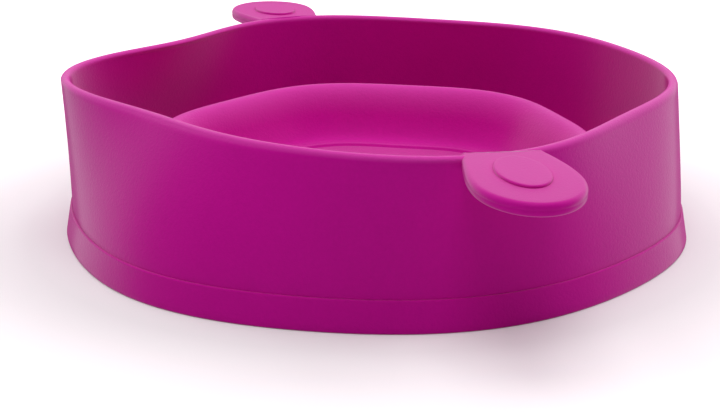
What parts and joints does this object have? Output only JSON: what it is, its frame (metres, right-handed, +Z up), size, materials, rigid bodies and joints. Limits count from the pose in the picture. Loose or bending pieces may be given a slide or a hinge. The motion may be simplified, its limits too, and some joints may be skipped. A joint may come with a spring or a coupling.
{
  "type": "suction bowl",
  "caption": "Low silicone bowl with a tall lobed wall, two pull tabs and a raised dish that presses down on a suction cup.",
  "frame": {"origin": "middle of the foot, on the table", "axes": "+Z up out of the bowl, -Y towards the front pull tab, +Y towards the rear one"},
  "size_m": [0.1592, 0.2201, 0.0403],
  "materials": {
    "silicone": "matte magenta silicone rubber"
  },
  "bodies": {
    "wall": {"outer_wall": "silicone", "foot_band": "silicone", "moat_web": "silicone", "suction_cup": "silicone", "front_tab_root": "silicone", "rear_tab_root": "silicone"},
    "dish": {"inner_dish": "silicone"},
    "front_tab": {"front_tab": "silicone", "front_tab_pad": "silicone"},
    "rear_tab": {"rear_tab": "silicone", "rear_tab_pad": "silicone"}
  },
  "joints": [
    {"name": "dish_press", "type": "slide", "parent": "wall", "child": "dish", "axis": [0, 0, 1], "range_m": [-0.003, 0], "stiffness_N_per_m": 1500, "deforming": ["moat_web", "suction_cup"]},
    {"name": "front_tab_flex", "type": "hinge", "parent": "wall", "child": "front_tab", "pos_m": [0, -0.08487, 0.03818], "axis": [-1, 0, 0], "range_deg": [-35, 60], "stiffness_Nm_per_rad": 0.05, "deforming": ["front_tab_root"]},
    {"name": "rear_tab_flex", "type": "hinge", "parent": "wall", "child": "rear_tab", "pos_m": [0, 0.08422, 0.03818], "axis": [1, 0, 0], "range_deg": [-35, 60], "stiffness_Nm_per_rad": 0.05, "deforming": ["rear_tab_root"]}
  ]
}
